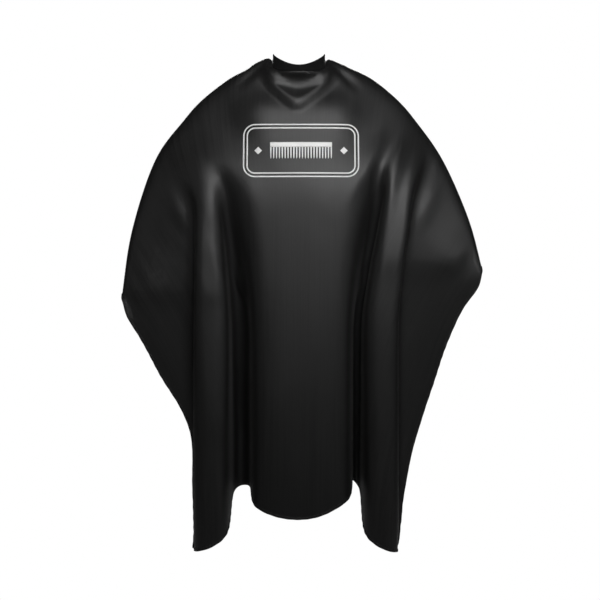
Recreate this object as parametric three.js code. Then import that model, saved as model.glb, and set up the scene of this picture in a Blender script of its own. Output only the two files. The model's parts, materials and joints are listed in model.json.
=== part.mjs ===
// Barber cape, draped as it is worn by someone who stands with both arms held out.
// Millimetres, +Z up, +Y towards the wearer's back. "left" is the -X side and "right" the +X side.
// The origin is the middle of the neck opening, level with the neckband's two ears.
import * as THREE from 'three';

// ---------------------------------------------------------------- driving dimensions

const GAP = 0.3;                     // between pieces that touch

// Cape cloth, measured on the draped shape
const CLOTH_THICKNESS = 2;
const HAND_LEFT = { out: 514, back: -40, up: -690 };
const HAND_RIGHT = { out: 531, back: -40, up: -612 };
const SHOULDER = { out: 202, back: 6, up: -46 };
const UPPER_ARM = { out: 332, back: 4, up: -166 };
const ELBOW = { out: 419, back: 0, up: -286 };
const FOREARM = { out: 486, back: -18, up: -468 };
const SIDE_FOLD_OUT = 306;           // where each side edge goes behind its fold
const TAIL_OUT = 284;                // bottom corners of the cloth
const TAIL_UP = -1404;
const FRONT_HEM_UP = -1316;          // lowest point of the middle panel
const NOTCH_OUT = 160;               // valleys between the middle panel and the tails
const NOTCH_UP = -1238;
const CHEST_DEPTH = 138;             // in front of the neck's middle
const CHEST_ROUNDNESS = 0.5;
const CHEST_AT = 0.26;               // how far down the front the chest stands out
const PANEL_DEPTH = 150;             // middle panel at the hem
const FOLD_RUN = 1.25;               // folds are still deepening at the hem, where this is 1
const FOLD_DEPTH = 120;              // fold crests beside the middle panel
const VALLEY_DEPTH = -12;            // bottoms of the valleys, behind the neck's middle

// Back flaps: what lies behind the arms
const NECK_SLOPE = { out: 124, back: 4, up: -18.5 };   // on each ridge, just outside the neckband
const BACK_EDGE_DEPTH = 124;
const BACK_EDGE_OUT = 48;            // half of the open gap down the back
const FLAP_CORNER_UP = -640;
const ARM_DEPTH = 48;                // half of the space that the arms fill
const EDGE_BEND_SHARE = 0.56;        // where the side edges bend in, down from the hand to the tail
const FLAP_BEND_SHARE = 0.62;        // where the back edges turn in, down to the flap's corner
const FLAP_ROUNDNESS = 0.8;
const FLAP_FULL_AT = 0.6;            // how far along the arm the flaps reach their full sag

// Neckband: a folded strip with an interlining
const NECK_HALF_WIDTH = 74;
const NECK_HALF_DEPTH = 75;
const BAND_WIDTH = 37;
const BAND_THICKNESS = 2.8;
const BAND_WALL = 0.6;
const EAR_UP = 4.7;
const FRONT_BAND_UP = -25.5;
const FRONT_BAND_TILT = THREE.MathUtils.degToRad(53);
const TILT_FADE = 1.2;               // how fast the tilt fades towards the ears
const TAB_NEAR_LENGTH = 60;
const TIP_PAST_MIDDLE = 21;          // closed, each tip reaches this far past the middle of the nape
const TAB_SWING = THREE.MathUtils.degToRad(45);

// Snap fasteners
const SNAP_RADIUS = 5;
const CAP_HEIGHT = 1.4;
const SOCKET_HEIGHT = 1.8;
const SOCKET_HOLE_RADIUS = 2.4;
const SOCKET_FLOOR = 0.4;
const STUD_BASE = 0.8;
const STUD_PEG_RADIUS = 1.9;
const STUD_PEG_HEIGHT = 1.3;
const SNAP_PITCH = 22;
const CAP_BEVEL = 1.2;
const SOCKET_BEVEL = 0.6;
const RIM_HEIGHT = 0.5;
const EAR_SNAP_SETBACK = 9;          // first snap, from the end of the front band
const EAR_SNAP_LIFT = 0.7;           // lets a flat disc clear the curved band

// Edge bindings
const BINDING_WIDTH = 8;
const BINDING_THICKNESS = 3;
const BINDING_GAP = 1.0;             // off the cloth's edge, where folds twist it
const BINDING_START_ROW = 2;         // back bindings begin below the ears

// Print on the chest
const PRINT_THICKNESS = 0.6;
const PRINT_LIFT = 0.9;              // off the cloth's facets
const PRINT_STEP = 6;                // between the print's points
const PRINT_MIDDLE_UP = -265;
const PRINT_MIDDLE_X = 6;
const PRINT_WIDTH = 331;
const PRINT_HEIGHT = 154;
const PRINT_CORNER = 34;
const PRINT_LINE = 4;
const PRINT_LINE_SPACING = 10;
const COMB_LENGTH = 176;
const COMB_SPINE = 14;
const COMB_TOOTH_LENGTH = 34;
const COMB_TEETH = 22;
const DIAMOND_SIZE = 22;
const DIAMOND_AT = 122;              // from the print's middle

// How finely the cloth, the neckband and the snaps are divided
const FRONT_COLUMNS = 46;
const FLAP_COLUMNS = 7;
const ROWS = 20;
const ROW_SPACING = 1.15;            // rows are closer together near the neck, where this is above 1
const BAND_STEPS = 36;
const SNAP_SEGMENTS = 24;

// ---------------------------------------------------------------- colours

const MATERIALS = {
  cloth: { color: 0x161718, roughness: 0.42, metalness: 0 },
  binding: { color: 0x0c0c0d, roughness: 0.6, metalness: 0 },
  band: { color: 0x0b0b0c, roughness: 0.7, metalness: 0 },
  lining: { color: 0xd8d6d0, roughness: 0.9, metalness: 0 },
  print: { color: 0xf2f2f0, roughness: 0.5, metalness: 0 },
  snap: { color: 0xb9bbbd, roughness: 0.3, metalness: 1 },
};

const cape = new THREE.Group();

// ---------------------------------------------------------------- mesh helpers

const vec = (x, y, z) => new THREE.Vector3(x, y, z);
const between = (a, b, share) => a.clone().lerp(b, share);
const { clamp, lerp, smoothstep } = THREE.MathUtils;
const steps = (from, to) => Array.from({ length: to - from + 1 }, (_, k) => from + k);

function signedVolume(points, faces) {
  const cross = vec();
  return faces.reduce((sum, [a, b, c]) => sum + points[a].dot(cross.crossVectors(points[b], points[c])), 0) / 6;
}

// Adds one closed body, turned so that its faces point out.
function addBody(name, material, points, faces, parent = cape) {
  const turned = signedVolume(points, faces) < 0 ? faces.map(([a, b, c]) => [a, c, b]) : faces;
  const geometry = new THREE.BufferGeometry();
  geometry.setAttribute('position', new THREE.Float32BufferAttribute(points.flatMap((p) => p.toArray()), 3));
  geometry.setIndex(turned.flat());
  geometry.computeVertexNormals();
  return addMesh(name, material, geometry, parent);
}

function addMesh(name, material, geometry, parent = cape) {
  const mesh = new THREE.Mesh(geometry, new THREE.MeshStandardMaterial(MATERIALS[material]));
  mesh.name = name;
  parent.add(mesh);
  return mesh;
}

// Closed plate between two matching grids of points, grid[column][row].
// Cells that isFilled leaves out are holes or notches. A looped plate joins its last column to its first.
function addPlate(name, material, front, back, { isFilled = () => true, looped = false } = {}) {
  const columns = front.length;
  const rows = front[0].length;
  const cellColumns = looped ? columns : columns - 1;
  const points = [...front.flat(), ...back.flat()];
  const index = (side, i, j) => side * columns * rows + (i % columns) * rows + j;
  const filled = (i, j) => {
    const column = looped ? (i + columns) % columns : i;
    return column >= 0 && column < cellColumns && j >= 0 && j < rows - 1 && isFilled(column, j);
  };
  const faces = [];
  const quad = (a, b, c, d) => faces.push([a, b, c], [a, c, d]);
  const wall = (i0, j0, i1, j1) => {
    quad(index(0, i0, j0), index(0, i1, j1), index(1, i1, j1), index(1, i0, j0));
  };
  for (let i = 0; i < cellColumns; i += 1) {
    for (let j = 0; j < rows - 1; j += 1) {
      if (!filled(i, j)) continue;
      quad(index(0, i, j), index(0, i, j + 1), index(0, i + 1, j + 1), index(0, i + 1, j));
      quad(index(1, i, j), index(1, i + 1, j), index(1, i + 1, j + 1), index(1, i, j + 1));
      if (!filled(i, j - 1)) wall(i, j, i + 1, j);
      if (!filled(i + 1, j)) wall(i + 1, j, i + 1, j + 1);
      if (!filled(i, j + 1)) wall(i + 1, j + 1, i, j + 1);
      if (!filled(i - 1, j)) wall(i, j + 1, i, j);
    }
  }
  const used = new Set(faces.flat());
  const renumbered = new Map([...used].sort((a, b) => a - b).map((old, at) => [old, at]));
  const keptPoints = points.filter((_, at) => used.has(at));
  return addBody(name, material, keptPoints, faces.map((face) => face.map((at) => renumbered.get(at))));
}

// Closed body of one cross-section, outline = [[up, out], ...], carried along a list of frames.
function addSweep(name, material, frames, outline) {
  const points = frames.flatMap(({ at, up, out }) =>
    outline.map(([u, v]) => at.clone().addScaledVector(up, u).addScaledVector(out, v)));
  const size = outline.length;
  const faces = [];
  for (let k = 0; k < frames.length - 1; k += 1) {
    for (let p = 0; p < size; p += 1) {
      const next = (p + 1) % size;
      const [a, b, c, d] = [k * size + p, k * size + next, (k + 1) * size + next, (k + 1) * size + p];
      // Every diagonal rises along the path, so that nested sweeps twist alike.
      if (outline[next][0] > outline[p][0]) faces.push([a, b, c], [a, c, d]);
      else faces.push([a, b, d], [b, c, d]);
    }
  }
  const last = (frames.length - 1) * size;
  const caps = THREE.ShapeUtils.triangulateShape(outline.map(([u, v]) => new THREE.Vector2(u, v)), []);
  caps.forEach((corners) => {
    const [a, b, c] = corners.toSorted((m, n) => m - n);
    faces.push([a, c, b], [last + a, last + b, last + c]);
  });
  return addBody(name, material, points, faces);
}

// ---------------------------------------------------------------- neckband path

// Frame of the neckband's centre line. The angle runs from -90 degrees (left ear) to +90 (right ear).
function bandFrame(angle) {
  const front = Math.max(Math.cos(angle), 0);
  const up = EAR_UP + (FRONT_BAND_UP - EAR_UP) * front;
  const at = vec(NECK_HALF_WIDTH * Math.sin(angle), -NECK_HALF_DEPTH * front, up);
  const outward = vec(NECK_HALF_DEPTH * Math.sin(angle), -NECK_HALF_WIDTH * front, 0).normalize();
  const tilt = FRONT_BAND_TILT * front ** TILT_FADE;
  const bandUp = vec(0, 0, Math.cos(tilt)).addScaledVector(outward, -Math.sin(tilt));
  const out = outward.clone().multiplyScalar(Math.cos(tilt)).add(vec(0, 0, Math.sin(tilt)));
  return { at, up: bandUp, out };
}

const bandAngle = (step) => -Math.PI / 2 + (Math.PI * step) / BAND_STEPS;

const half = BAND_WIDTH / 2;
const skin = BAND_THICKNESS / 2;
const liningSide = skin - BAND_WALL - GAP;
const COVER_OUTLINE = [
  [-half, -skin], [-half, -skin + BAND_WALL], [half - BAND_WALL, -skin + BAND_WALL],
  [half - BAND_WALL, skin - BAND_WALL], [-half, skin - BAND_WALL], [-half, skin], [half, skin], [half, -skin],
];
const liningTop = half - BAND_WALL - GAP;
const LINING_OUTLINE = [
  [-half + 1, -liningSide], [-half + 1, liningSide], [liningTop, liningSide], [liningTop, -liningSide],
];

function addBandSegment(name, frames) {
  addSweep(`${name}_cover`, 'band', frames, COVER_OUTLINE);
  addSweep(`${name}_interlining`, 'lining', frames, LINING_OUTLINE);
}

addBandSegment('neckband_front', steps(0, BAND_STEPS).map((k) => bandFrame(bandAngle(k))));

// ---------------------------------------------------------------- snap fasteners

function turn(profile) {
  return new THREE.LatheGeometry(profile.map(([r, h]) => new THREE.Vector2(r, h)), SNAP_SEGMENTS);
}

const SNAP_SHAPES = {
  cap: turn([
    [0, 0], [SNAP_RADIUS, 0], [SNAP_RADIUS, RIM_HEIGHT],
    [SNAP_RADIUS - CAP_BEVEL, CAP_HEIGHT - 0.2], [0, CAP_HEIGHT],
  ]),
  socket: turn([
    [0, 0], [SNAP_RADIUS, 0], [SNAP_RADIUS, SOCKET_HEIGHT - 0.4], [SNAP_RADIUS - SOCKET_BEVEL, SOCKET_HEIGHT],
    [SOCKET_HOLE_RADIUS, SOCKET_HEIGHT], [SOCKET_HOLE_RADIUS, SOCKET_FLOOR], [0, SOCKET_FLOOR],
  ]),
  stud: turn([
    [0, 0], [SNAP_RADIUS, 0], [SNAP_RADIUS, STUD_BASE], [STUD_PEG_RADIUS, STUD_BASE],
    [STUD_PEG_RADIUS, STUD_BASE + STUD_PEG_HEIGHT], [0, STUD_BASE + STUD_PEG_HEIGHT],
  ]),
};
SNAP_SHAPES.post_cap = SNAP_SHAPES.cap;

// One half of a snap: the outer piece on the band's outside, the inner piece on the side of the neck.
function addSnap(name, frame, outer, inner, lift = 0) {
  const pieces = [[outer, frame.out], [inner, frame.out.clone().negate()]];
  pieces.forEach(([kind, direction]) => {
    const mesh = addMesh(`${name}_${kind}`, 'snap', SNAP_SHAPES[kind]);
    mesh.position.copy(frame.at).addScaledVector(direction, skin + GAP + lift);
    mesh.quaternion.setFromUnitVectors(vec(0, 1, 0), direction);
  });
}

// ---------------------------------------------------------------- neckband tabs

// The left tab closes over the right one, so it is longer by the snaps' height along its swing.
const CLOSED_SPACING = BAND_THICKNESS + 3 * GAP + SOCKET_HEIGHT + STUD_BASE;
const nearLength = { left: TAB_NEAR_LENGTH + CLOSED_SPACING / Math.sin(TAB_SWING), right: TAB_NEAR_LENGTH };
const hingeOut = NECK_HALF_WIDTH - skin;
const closedTipStart = (side) => hingeOut - (nearLength[side] + GAP) * Math.sin(TAB_SWING);
const tipLength = (side) => closedTipStart(side) + TIP_PAST_MIDDLE;
const tipReach = (side, x) => closedTipStart(side) + (side === 'left' ? x : -x);

function tabFrame(side, back) {
  const sign = side === 'left' ? -1 : 1;
  return { at: vec(sign * NECK_HALF_WIDTH, back, EAR_UP), up: vec(0, 0, 1), out: vec(sign, 0, 0) };
}

['left', 'right'].forEach((side) => {
  const sign = side === 'left' ? -1 : 1;
  const [outer, inner] = side === 'left' ? ['cap', 'socket'] : ['stud', 'post_cap'];
  const nearEnd = GAP + nearLength[side];
  const tipStart = nearEnd + GAP;
  addBandSegment(`neckband_${side}_near`, [tabFrame(side, GAP), tabFrame(side, nearEnd)]);
  const tipEnd = tipStart + tipLength(side);
  addBandSegment(`neckband_${side}_tip`, [tabFrame(side, tipStart), tabFrame(side, tipEnd)]);
  const earAngle = sign * (Math.PI / 2 - EAR_SNAP_SETBACK / NECK_HALF_DEPTH);
  addSnap(`snap_${side}_1`, bandFrame(earAngle), outer, inner, EAR_SNAP_LIFT);
  [-1, 1].forEach((step, k) => {
    const reach = tipReach(side, (step * SNAP_PITCH) / 2) - GAP / 2;
    addSnap(`snap_${side}_${k + 2}`, tabFrame(side, tipStart + reach), outer, inner);
  });
});

// ---------------------------------------------------------------- draped cloth surface

const curve = (points) => new THREE.CatmullRomCurve3(points, false, 'centripetal');
const sided = (sign, { out, back, up }) => vec(sign * out, back, up);

// Where the cloth leaves the lower edge of the neckband.
function neckPoint(angle) {
  const { at, up } = bandFrame(angle);
  return at.clone().addScaledVector(up, -(half + GAP + CLOTH_THICKNESS / 2));
}

const ridges = [-1, 1].map((sign) => curve([
  neckPoint((sign * Math.PI) / 2),
  ...[NECK_SLOPE, SHOULDER, UPPER_ARM, ELBOW, FOREARM].map((point) => sided(sign, point)),
  sided(sign, sign < 0 ? HAND_LEFT : HAND_RIGHT),
]));

// Lower outline of one side, from the hand to the middle of the hem: the side edge, the tail's front fold,
// the notch with its valley, and the middle panel. Bare offsets round off each of them.
function lowerOutline(sign) {
  const hand = sided(sign, sign < 0 ? HAND_LEFT : HAND_RIGHT);
  const foldPoint = vec(sign * SIDE_FOLD_OUT, -ARM_DEPTH, lerp(hand.z, TAIL_UP, EDGE_BEND_SHARE));
  const corner = vec(sign * (TAIL_OUT + 8), -50, TAIL_UP + 6);
  const sideMiddle = between(hand, foldPoint, 0.5).setY(-ARM_DEPTH);
  return [
    hand,
    sideMiddle,
    foldPoint,
    between(foldPoint, corner, 0.5),
    corner,
    vec(sign * (TAIL_OUT - 30), -FOLD_DEPTH, TAIL_UP),
    vec(sign * (NOTCH_OUT + 34), -FOLD_DEPTH + 8, (TAIL_UP * 2 + NOTCH_UP) / 3),
    vec(sign * (NOTCH_OUT + 10), -FOLD_DEPTH / 2, NOTCH_UP - 20),
    vec(sign * NOTCH_OUT, -VALLEY_DEPTH, NOTCH_UP),
    vec(sign * (NOTCH_OUT - 12), -FOLD_DEPTH / 2, NOTCH_UP - 16),
    vec(sign * (NOTCH_OUT - 52), -PANEL_DEPTH + 26, (NOTCH_UP + FRONT_HEM_UP) / 2 - 12),
    vec(sign * (NOTCH_OUT - 108), -PANEL_DEPTH + 4, FRONT_HEM_UP + 6),
  ];
}

const hemMiddle = vec(0, -PANEL_DEPTH, FRONT_HEM_UP);
const outline = curve([...lowerOutline(-1), hemMiddle, ...lowerOutline(1).reverse()]);

const outlinePointAt = (s) => outline.getPoint((s + 1) / 2);

// Fall from the neck over the chest to the outline. The folds grow from below the chest to the hem.
function fall(s, t) {
  const start = neckPoint((s * Math.PI) / 2);
  const end = outlinePointAt(s);
  const chest = -CHEST_DEPTH * Math.cos((s * Math.PI) / 2) ** CHEST_ROUNDNESS;
  const foldShare = smoothstep(t, CHEST_AT, FOLD_RUN) / smoothstep(1, CHEST_AT, FOLD_RUN);
  const point = between(start, end, t);
  point.y = lerp(lerp(start.y, chest, smoothstep(t, 0, CHEST_AT)), end.y, foldShare);
  return point;
}

// Front of the cape: s runs from the left arm (-1) to the right arm (1), t from the neck to the hem.
function frontPoint(s, t) {
  const side = s < 0 ? 0 : 1;
  const ridgeShift = ridges[side].getPointAt(t).sub(fall(Math.sign(s) || 1, t));
  return fall(s, t).addScaledVector(ridgeShift, Math.abs(s) ** 4);
}

// Free edge of a back flap, from the ear down the wearer's back.
const backEdges = [-1, 1].map((sign) => curve([
  vec(sign * NECK_HALF_WIDTH, 30, EAR_UP - half - 6),
  vec(sign * (NECK_HALF_WIDTH + 8), 74, -64),
  vec(sign * (NECK_HALF_WIDTH + 2), BACK_EDGE_DEPTH - 14, -160),
  vec(sign * (BACK_EDGE_OUT + 14), BACK_EDGE_DEPTH, FLAP_CORNER_UP * FLAP_BEND_SHARE),
  vec(sign * BACK_EDGE_OUT, BACK_EDGE_DEPTH - 8, FLAP_CORNER_UP),
]));

// Back flap: r runs from the arm (0) to the free edge (1).
function flapPoint(side, r, t) {
  const point = between(ridges[side].getPointAt(t), backEdges[side].getPointAt(t), r);
  const sag = ARM_DEPTH * Math.sin(Math.PI * r) ** FLAP_ROUNDNESS * smoothstep(t, 0, FLAP_FULL_AT);
  point.y += sag;
  point.z -= sag * t;
  return point;
}

const rowShare = (j) => (j / ROWS) ** ROW_SPACING;
const clothGrid = [];
const addColumn = (pointAt) => {
  clothGrid.push(steps(0, ROWS).map((j) => pointAt(rowShare(j))));
};
for (let k = FLAP_COLUMNS; k > 0; k -= 1) addColumn((t) => flapPoint(0, k / FLAP_COLUMNS, t));
for (let k = 0; k <= FRONT_COLUMNS; k += 1) addColumn((t) => frontPoint((2 * k) / FRONT_COLUMNS - 1, t));
for (let k = 1; k <= FLAP_COLUMNS; k += 1) addColumn((t) => flapPoint(1, k / FLAP_COLUMNS, t));

const lastColumn = clothGrid.length - 1;
const gridPoint = (i, j) => clothGrid[clamp(i, 0, lastColumn)][clamp(j, 0, ROWS)];

// Normal of the cloth, towards its outer side.
function clothNormal(i, j) {
  const across = gridPoint(i + 1, j).clone().sub(gridPoint(i - 1, j));
  const down = gridPoint(i, j + 1).clone().sub(gridPoint(i, j - 1));
  return down.cross(across).normalize().negate();
}

function offsetGrid(distance) {
  return clothGrid.map((column, i) => column.map((point, j) =>
    point.clone().addScaledVector(clothNormal(i, j), distance)));
}

const cloth = addPlate('cape_body', 'cloth', offsetGrid(CLOTH_THICKNESS / 2), offsetGrid(-CLOTH_THICKNESS / 2));

// ---------------------------------------------------------------- edge bindings

// Binding along a run of the cloth's edge, given as [column, row] pairs with the step that leads off the edge.
function addBinding(name, places, [stepColumn, stepRow]) {
  const reach = BINDING_GAP + BINDING_WIDTH / 2;
  const last = places.length - 1;
  const frames = places.map(([i, j], k) => {
    const edge = gridPoint(i, j);
    const [before, after] = [places[Math.max(k - 1, 0)], places[Math.min(k + 1, last)]];
    const along = gridPoint(...after).clone().sub(gridPoint(...before));
    const outward = edge.clone().sub(gridPoint(i - stepColumn, j - stepRow)).projectOnPlane(along.normalize());
    outward.normalize();
    return { at: edge.clone().addScaledVector(outward, reach), up: outward, out: clothNormal(i, j) };
  });
  trimEnds(frames);
  const [w, h] = [BINDING_WIDTH / 2, BINDING_THICKNESS / 2];
  addSweep(name, 'binding', frames, [[-w, -h], [w, -h], [w, h], [-w, h]]);
}

// Bindings stop short of the corners, so that neighbours stay apart.
function trimEnds(frames) {
  const trim = (end, next) => {
    const along = frames[next].at.clone().sub(frames[end].at);
    frames[end].at.addScaledVector(along.normalize(), BINDING_WIDTH / 2);
  };
  trim(0, 1);
  trim(frames.length - 1, frames.length - 2);
}

const cornerShare = 4 / (2 * lowerOutline(1).length);
const cornerColumn = FLAP_COLUMNS + Math.round(cornerShare * FRONT_COLUMNS);
const alongHem = (from, to) => steps(from, to).map((i) => [i, ROWS]);
const alongBack = (column) => steps(BINDING_START_ROW, ROWS).map((j) => [column, j]);
addBinding('binding_side_left', alongHem(0, cornerColumn), [0, 1]);
addBinding('binding_bottom', alongHem(cornerColumn, lastColumn - cornerColumn), [0, 1]);
addBinding('binding_side_right', alongHem(lastColumn - cornerColumn, lastColumn), [0, 1]);
addBinding('binding_back_left', alongBack(0), [-1, 0]);
addBinding('binding_back_right', alongBack(lastColumn), [1, 0]);

// ---------------------------------------------------------------- print on the chest

const ray = new THREE.Raycaster();
cape.updateMatrixWorld(true);

function chestHit(x, z) {
  ray.set(vec(PRINT_MIDDLE_X + x, -1000, PRINT_MIDDLE_UP + z), vec(0, 1, 0));
  return ray.intersectObject(cloth)[0];
}

// A point raised off the cloth's outer face at (x, z). It takes the foremost of three places side by side,
// so that the print's straight stretches clear a fold between two of its points.
function onChest(x, z, raise, spread) {
  const hit = chestHit(x, z);
  const foremost = Math.min(...[-spread, 0, spread].map((shift) => chestHit(x + shift, z).point.y));
  return hit.point.clone().setY(foremost).addScaledVector(hit.face.normal, raise);
}

function addPrint(name, columns, options, spread = PRINT_STEP / 2) {
  const layer = (raise) => columns.map((column) => column.map(([x, z]) => onChest(x, z, raise, spread)));
  addPlate(name, 'print', layer(PRINT_LIFT + PRINT_THICKNESS), layer(PRINT_LIFT), options);
}

// Rounded rectangle, as points one after another round its middle.
function roundedLoop(width, height, radius) {
  const shape = new THREE.Shape();
  const [w, h] = [width / 2, height / 2];
  shape.moveTo(w, 0);
  shape.lineTo(w, h - radius);
  shape.absarc(w - radius, h - radius, radius, 0, Math.PI / 2, false);
  shape.absarc(-w + radius, h - radius, radius, Math.PI / 2, Math.PI, false);
  shape.absarc(-w + radius, -h + radius, radius, Math.PI, 1.5 * Math.PI, false);
  shape.absarc(w - radius, -h + radius, radius, 1.5 * Math.PI, 2 * Math.PI, false);
  shape.closePath();
  return shape;
}

function addPrintLine(name, inset) {
  const count = Math.round((2 * (PRINT_WIDTH + PRINT_HEIGHT)) / PRINT_STEP);
  const edge = (more) => roundedLoop(
    PRINT_WIDTH - 2 * (inset + more), PRINT_HEIGHT - 2 * (inset + more), PRINT_CORNER - inset - more);
  const rims = [edge(0), edge(PRINT_LINE)].map((shape) => shape.getSpacedPoints(count).slice(0, count));
  addPrint(name, steps(0, count - 1).map((k) => rims.map((rim) => rim[k].toArray())), { looped: true });
}

addPrintLine('print_outer_line', 0);
addPrintLine('print_inner_line', PRINT_LINE_SPACING);

// Comb: a spine with teeth below it, every second column being a tooth.
const SPINE_ROWS = 2;
const TOOTH_ROWS = 4;
const combColumn = (k) => {
  const x = COMB_LENGTH * (k / (2 * COMB_TEETH - 1) - 0.5);
  const top = (COMB_SPINE + COMB_TOOTH_LENGTH) / 2;
  const spine = steps(0, SPINE_ROWS).map((j) => [x, top - (COMB_SPINE * j) / SPINE_ROWS]);
  const tooth = steps(1, TOOTH_ROWS).map((j) => [x, top - COMB_SPINE - (COMB_TOOTH_LENGTH * j) / TOOTH_ROWS]);
  return [...spine, ...tooth];
};
const isComb = (i, j) => j < SPINE_ROWS || i % 2 === 0;
addPrint('print_comb', steps(0, 2 * COMB_TEETH - 1).map(combColumn), { isFilled: isComb });

['left', 'right'].forEach((side) => {
  const middle = side === 'left' ? -DIAMOND_AT : DIAMOND_AT;
  const reach = DIAMOND_SIZE / 2;
  const corner = (u, v) => [middle + ((u - v) * reach) / 2, ((u + v) * reach) / 2];
  addPrint(`print_diamond_${side}`, [-1, 0, 1].map((u) => [-1, 0, 1].map((v) => corner(u, v))), {}, 0);
});

export default cape;
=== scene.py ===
"""Looks of a barber cape, draped as it is worn by someone who stands with both arms held out."""

import json
import math

import bpy
import numpy as np
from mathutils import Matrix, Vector
from mathutils.bvhtree import BVHTree


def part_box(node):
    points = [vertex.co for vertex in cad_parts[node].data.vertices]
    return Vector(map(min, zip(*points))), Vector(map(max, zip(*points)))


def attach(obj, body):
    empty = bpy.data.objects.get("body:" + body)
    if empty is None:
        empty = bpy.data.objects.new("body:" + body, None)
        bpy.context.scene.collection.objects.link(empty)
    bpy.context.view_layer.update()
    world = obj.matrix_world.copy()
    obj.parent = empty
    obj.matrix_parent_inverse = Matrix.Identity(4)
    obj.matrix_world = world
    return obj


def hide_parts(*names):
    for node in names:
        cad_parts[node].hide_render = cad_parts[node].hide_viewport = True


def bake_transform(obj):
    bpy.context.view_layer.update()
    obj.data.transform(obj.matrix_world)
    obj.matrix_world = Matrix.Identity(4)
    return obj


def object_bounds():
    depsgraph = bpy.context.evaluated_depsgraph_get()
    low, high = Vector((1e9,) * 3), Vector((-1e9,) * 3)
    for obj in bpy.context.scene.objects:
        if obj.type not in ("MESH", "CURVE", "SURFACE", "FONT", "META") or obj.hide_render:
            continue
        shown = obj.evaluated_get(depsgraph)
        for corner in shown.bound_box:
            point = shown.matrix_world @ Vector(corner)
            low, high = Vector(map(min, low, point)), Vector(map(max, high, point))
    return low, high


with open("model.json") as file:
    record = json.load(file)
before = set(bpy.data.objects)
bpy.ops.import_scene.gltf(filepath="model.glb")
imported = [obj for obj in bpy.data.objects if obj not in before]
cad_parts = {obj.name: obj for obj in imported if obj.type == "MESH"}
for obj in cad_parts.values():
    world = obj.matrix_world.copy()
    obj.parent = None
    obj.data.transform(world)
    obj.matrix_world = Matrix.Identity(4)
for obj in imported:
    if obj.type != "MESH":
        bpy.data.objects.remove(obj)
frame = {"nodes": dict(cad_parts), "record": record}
cad_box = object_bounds()

MM = 0.001
SIDES = (-1, 1)
SIDE_NAME = {-1: "left", 1: "right"}



def placed(name, data):
    """A new object in the scene."""
    thing = bpy.data.objects.new(name, data)
    bpy.context.scene.collection.objects.link(thing)
    return thing


# ---------------------------------------------------------------- camera

VIEW_HEIGHT = 1.74
CAMERA_AWAY = 6.0
CAMERA_RIGHT, CAMERA_UP = 0.003, -0.690
SENSOR = 36.0
camera_data = bpy.data.cameras.new("camera")
camera_data.sensor_width = SENSOR
camera_data.lens = SENSOR * CAMERA_AWAY / VIEW_HEIGHT
camera = placed("camera", camera_data)
camera.location = (CAMERA_RIGHT, -CAMERA_AWAY, CAMERA_UP)
camera.rotation_euler = (math.radians(90), 0, 0)
bpy.context.scene.camera = camera

# ---------------------------------------------------------------- node materials

NOISE_LOW, NOISE_HIGH = 0.35, 0.65  # most values of a noise texture lie between these


class Nodes:
    """Short ways to add shader nodes to one material."""

    def __init__(self, name):
        self.material = bpy.data.materials.new(name)
        self.material.use_nodes = True
        self.tree = self.material.node_tree
        self.tree.nodes.clear()
        self.shader = self.add("ShaderNodeBsdfPrincipled")
        output = self.add("ShaderNodeOutputMaterial")
        self.link(self.shader.outputs[0], output.inputs["Surface"])

    def add(self, kind, values=(), **settings):
        node = self.tree.nodes.new(kind)
        for key, value in settings.items():
            setattr(node, key, value)
        for key, value in dict(values).items():
            node.inputs[key].default_value = value
        return node

    def link(self, output, socket):
        self.tree.links.new(output, socket)

    def set(self, **values):
        for key, value in values.items():
            self.shader.inputs[key.replace("_", " ")].default_value = value

    def math(self, operation, a, b):
        node = self.add("ShaderNodeMath", operation=operation)
        for socket, value in zip(node.inputs, (a, b)):
            if isinstance(value, (int, float)):
                socket.default_value = value
            else:
                self.link(value, socket)
        return node.outputs[0]

    def stretched(self, coordinates, scale, kind="ShaderNodeTexNoise", **values):
        """A texture over coordinates that are stretched by scale."""
        mapping = self.add("ShaderNodeMapping", {"Scale": scale})
        self.link(coordinates, mapping.inputs["Vector"])
        texture = self.add(kind, values)
        self.link(mapping.outputs[0], texture.inputs["Vector"])
        return texture.outputs["Fac" if "Fac" in texture.outputs else 0]

    def grain(self, kind="ShaderNodeTexNoise", **values):
        """A texture in the piece's own space."""
        return self.stretched(self.source("Object"), (1, 1, 1), kind, **values)

    def ramp(self, factor, low, high):
        """Low to high, as a noise texture goes from dark to light."""
        limits = {"From Min": NOISE_LOW, "From Max": NOISE_HIGH, "To Min": low, "To Max": high}
        node = self.add("ShaderNodeMapRange", limits)
        self.link(factor, node.inputs["Value"])
        return node.outputs[0]

    def rough(self, factor, low, high):
        self.link(self.ramp(factor, low, high), self.shader.inputs["Roughness"])

    def tint(self, factor, dark, light):
        node = self.add("ShaderNodeMix", data_type="RGBA")
        node.inputs[6].default_value = (*dark, 1)
        node.inputs[7].default_value = (*light, 1)
        self.link(factor, node.inputs[0])
        self.link(node.outputs[2], self.shader.inputs["Base Color"])

    def bump(self, height, distance, strength):
        node = self.add("ShaderNodeBump", {"Distance": distance, "Strength": strength})
        self.link(height, node.inputs["Height"])
        self.link(node.outputs[0], self.shader.inputs["Normal"])

    def source(self, kind):
        return self.add("ShaderNodeTexCoord").outputs[kind]


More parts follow.
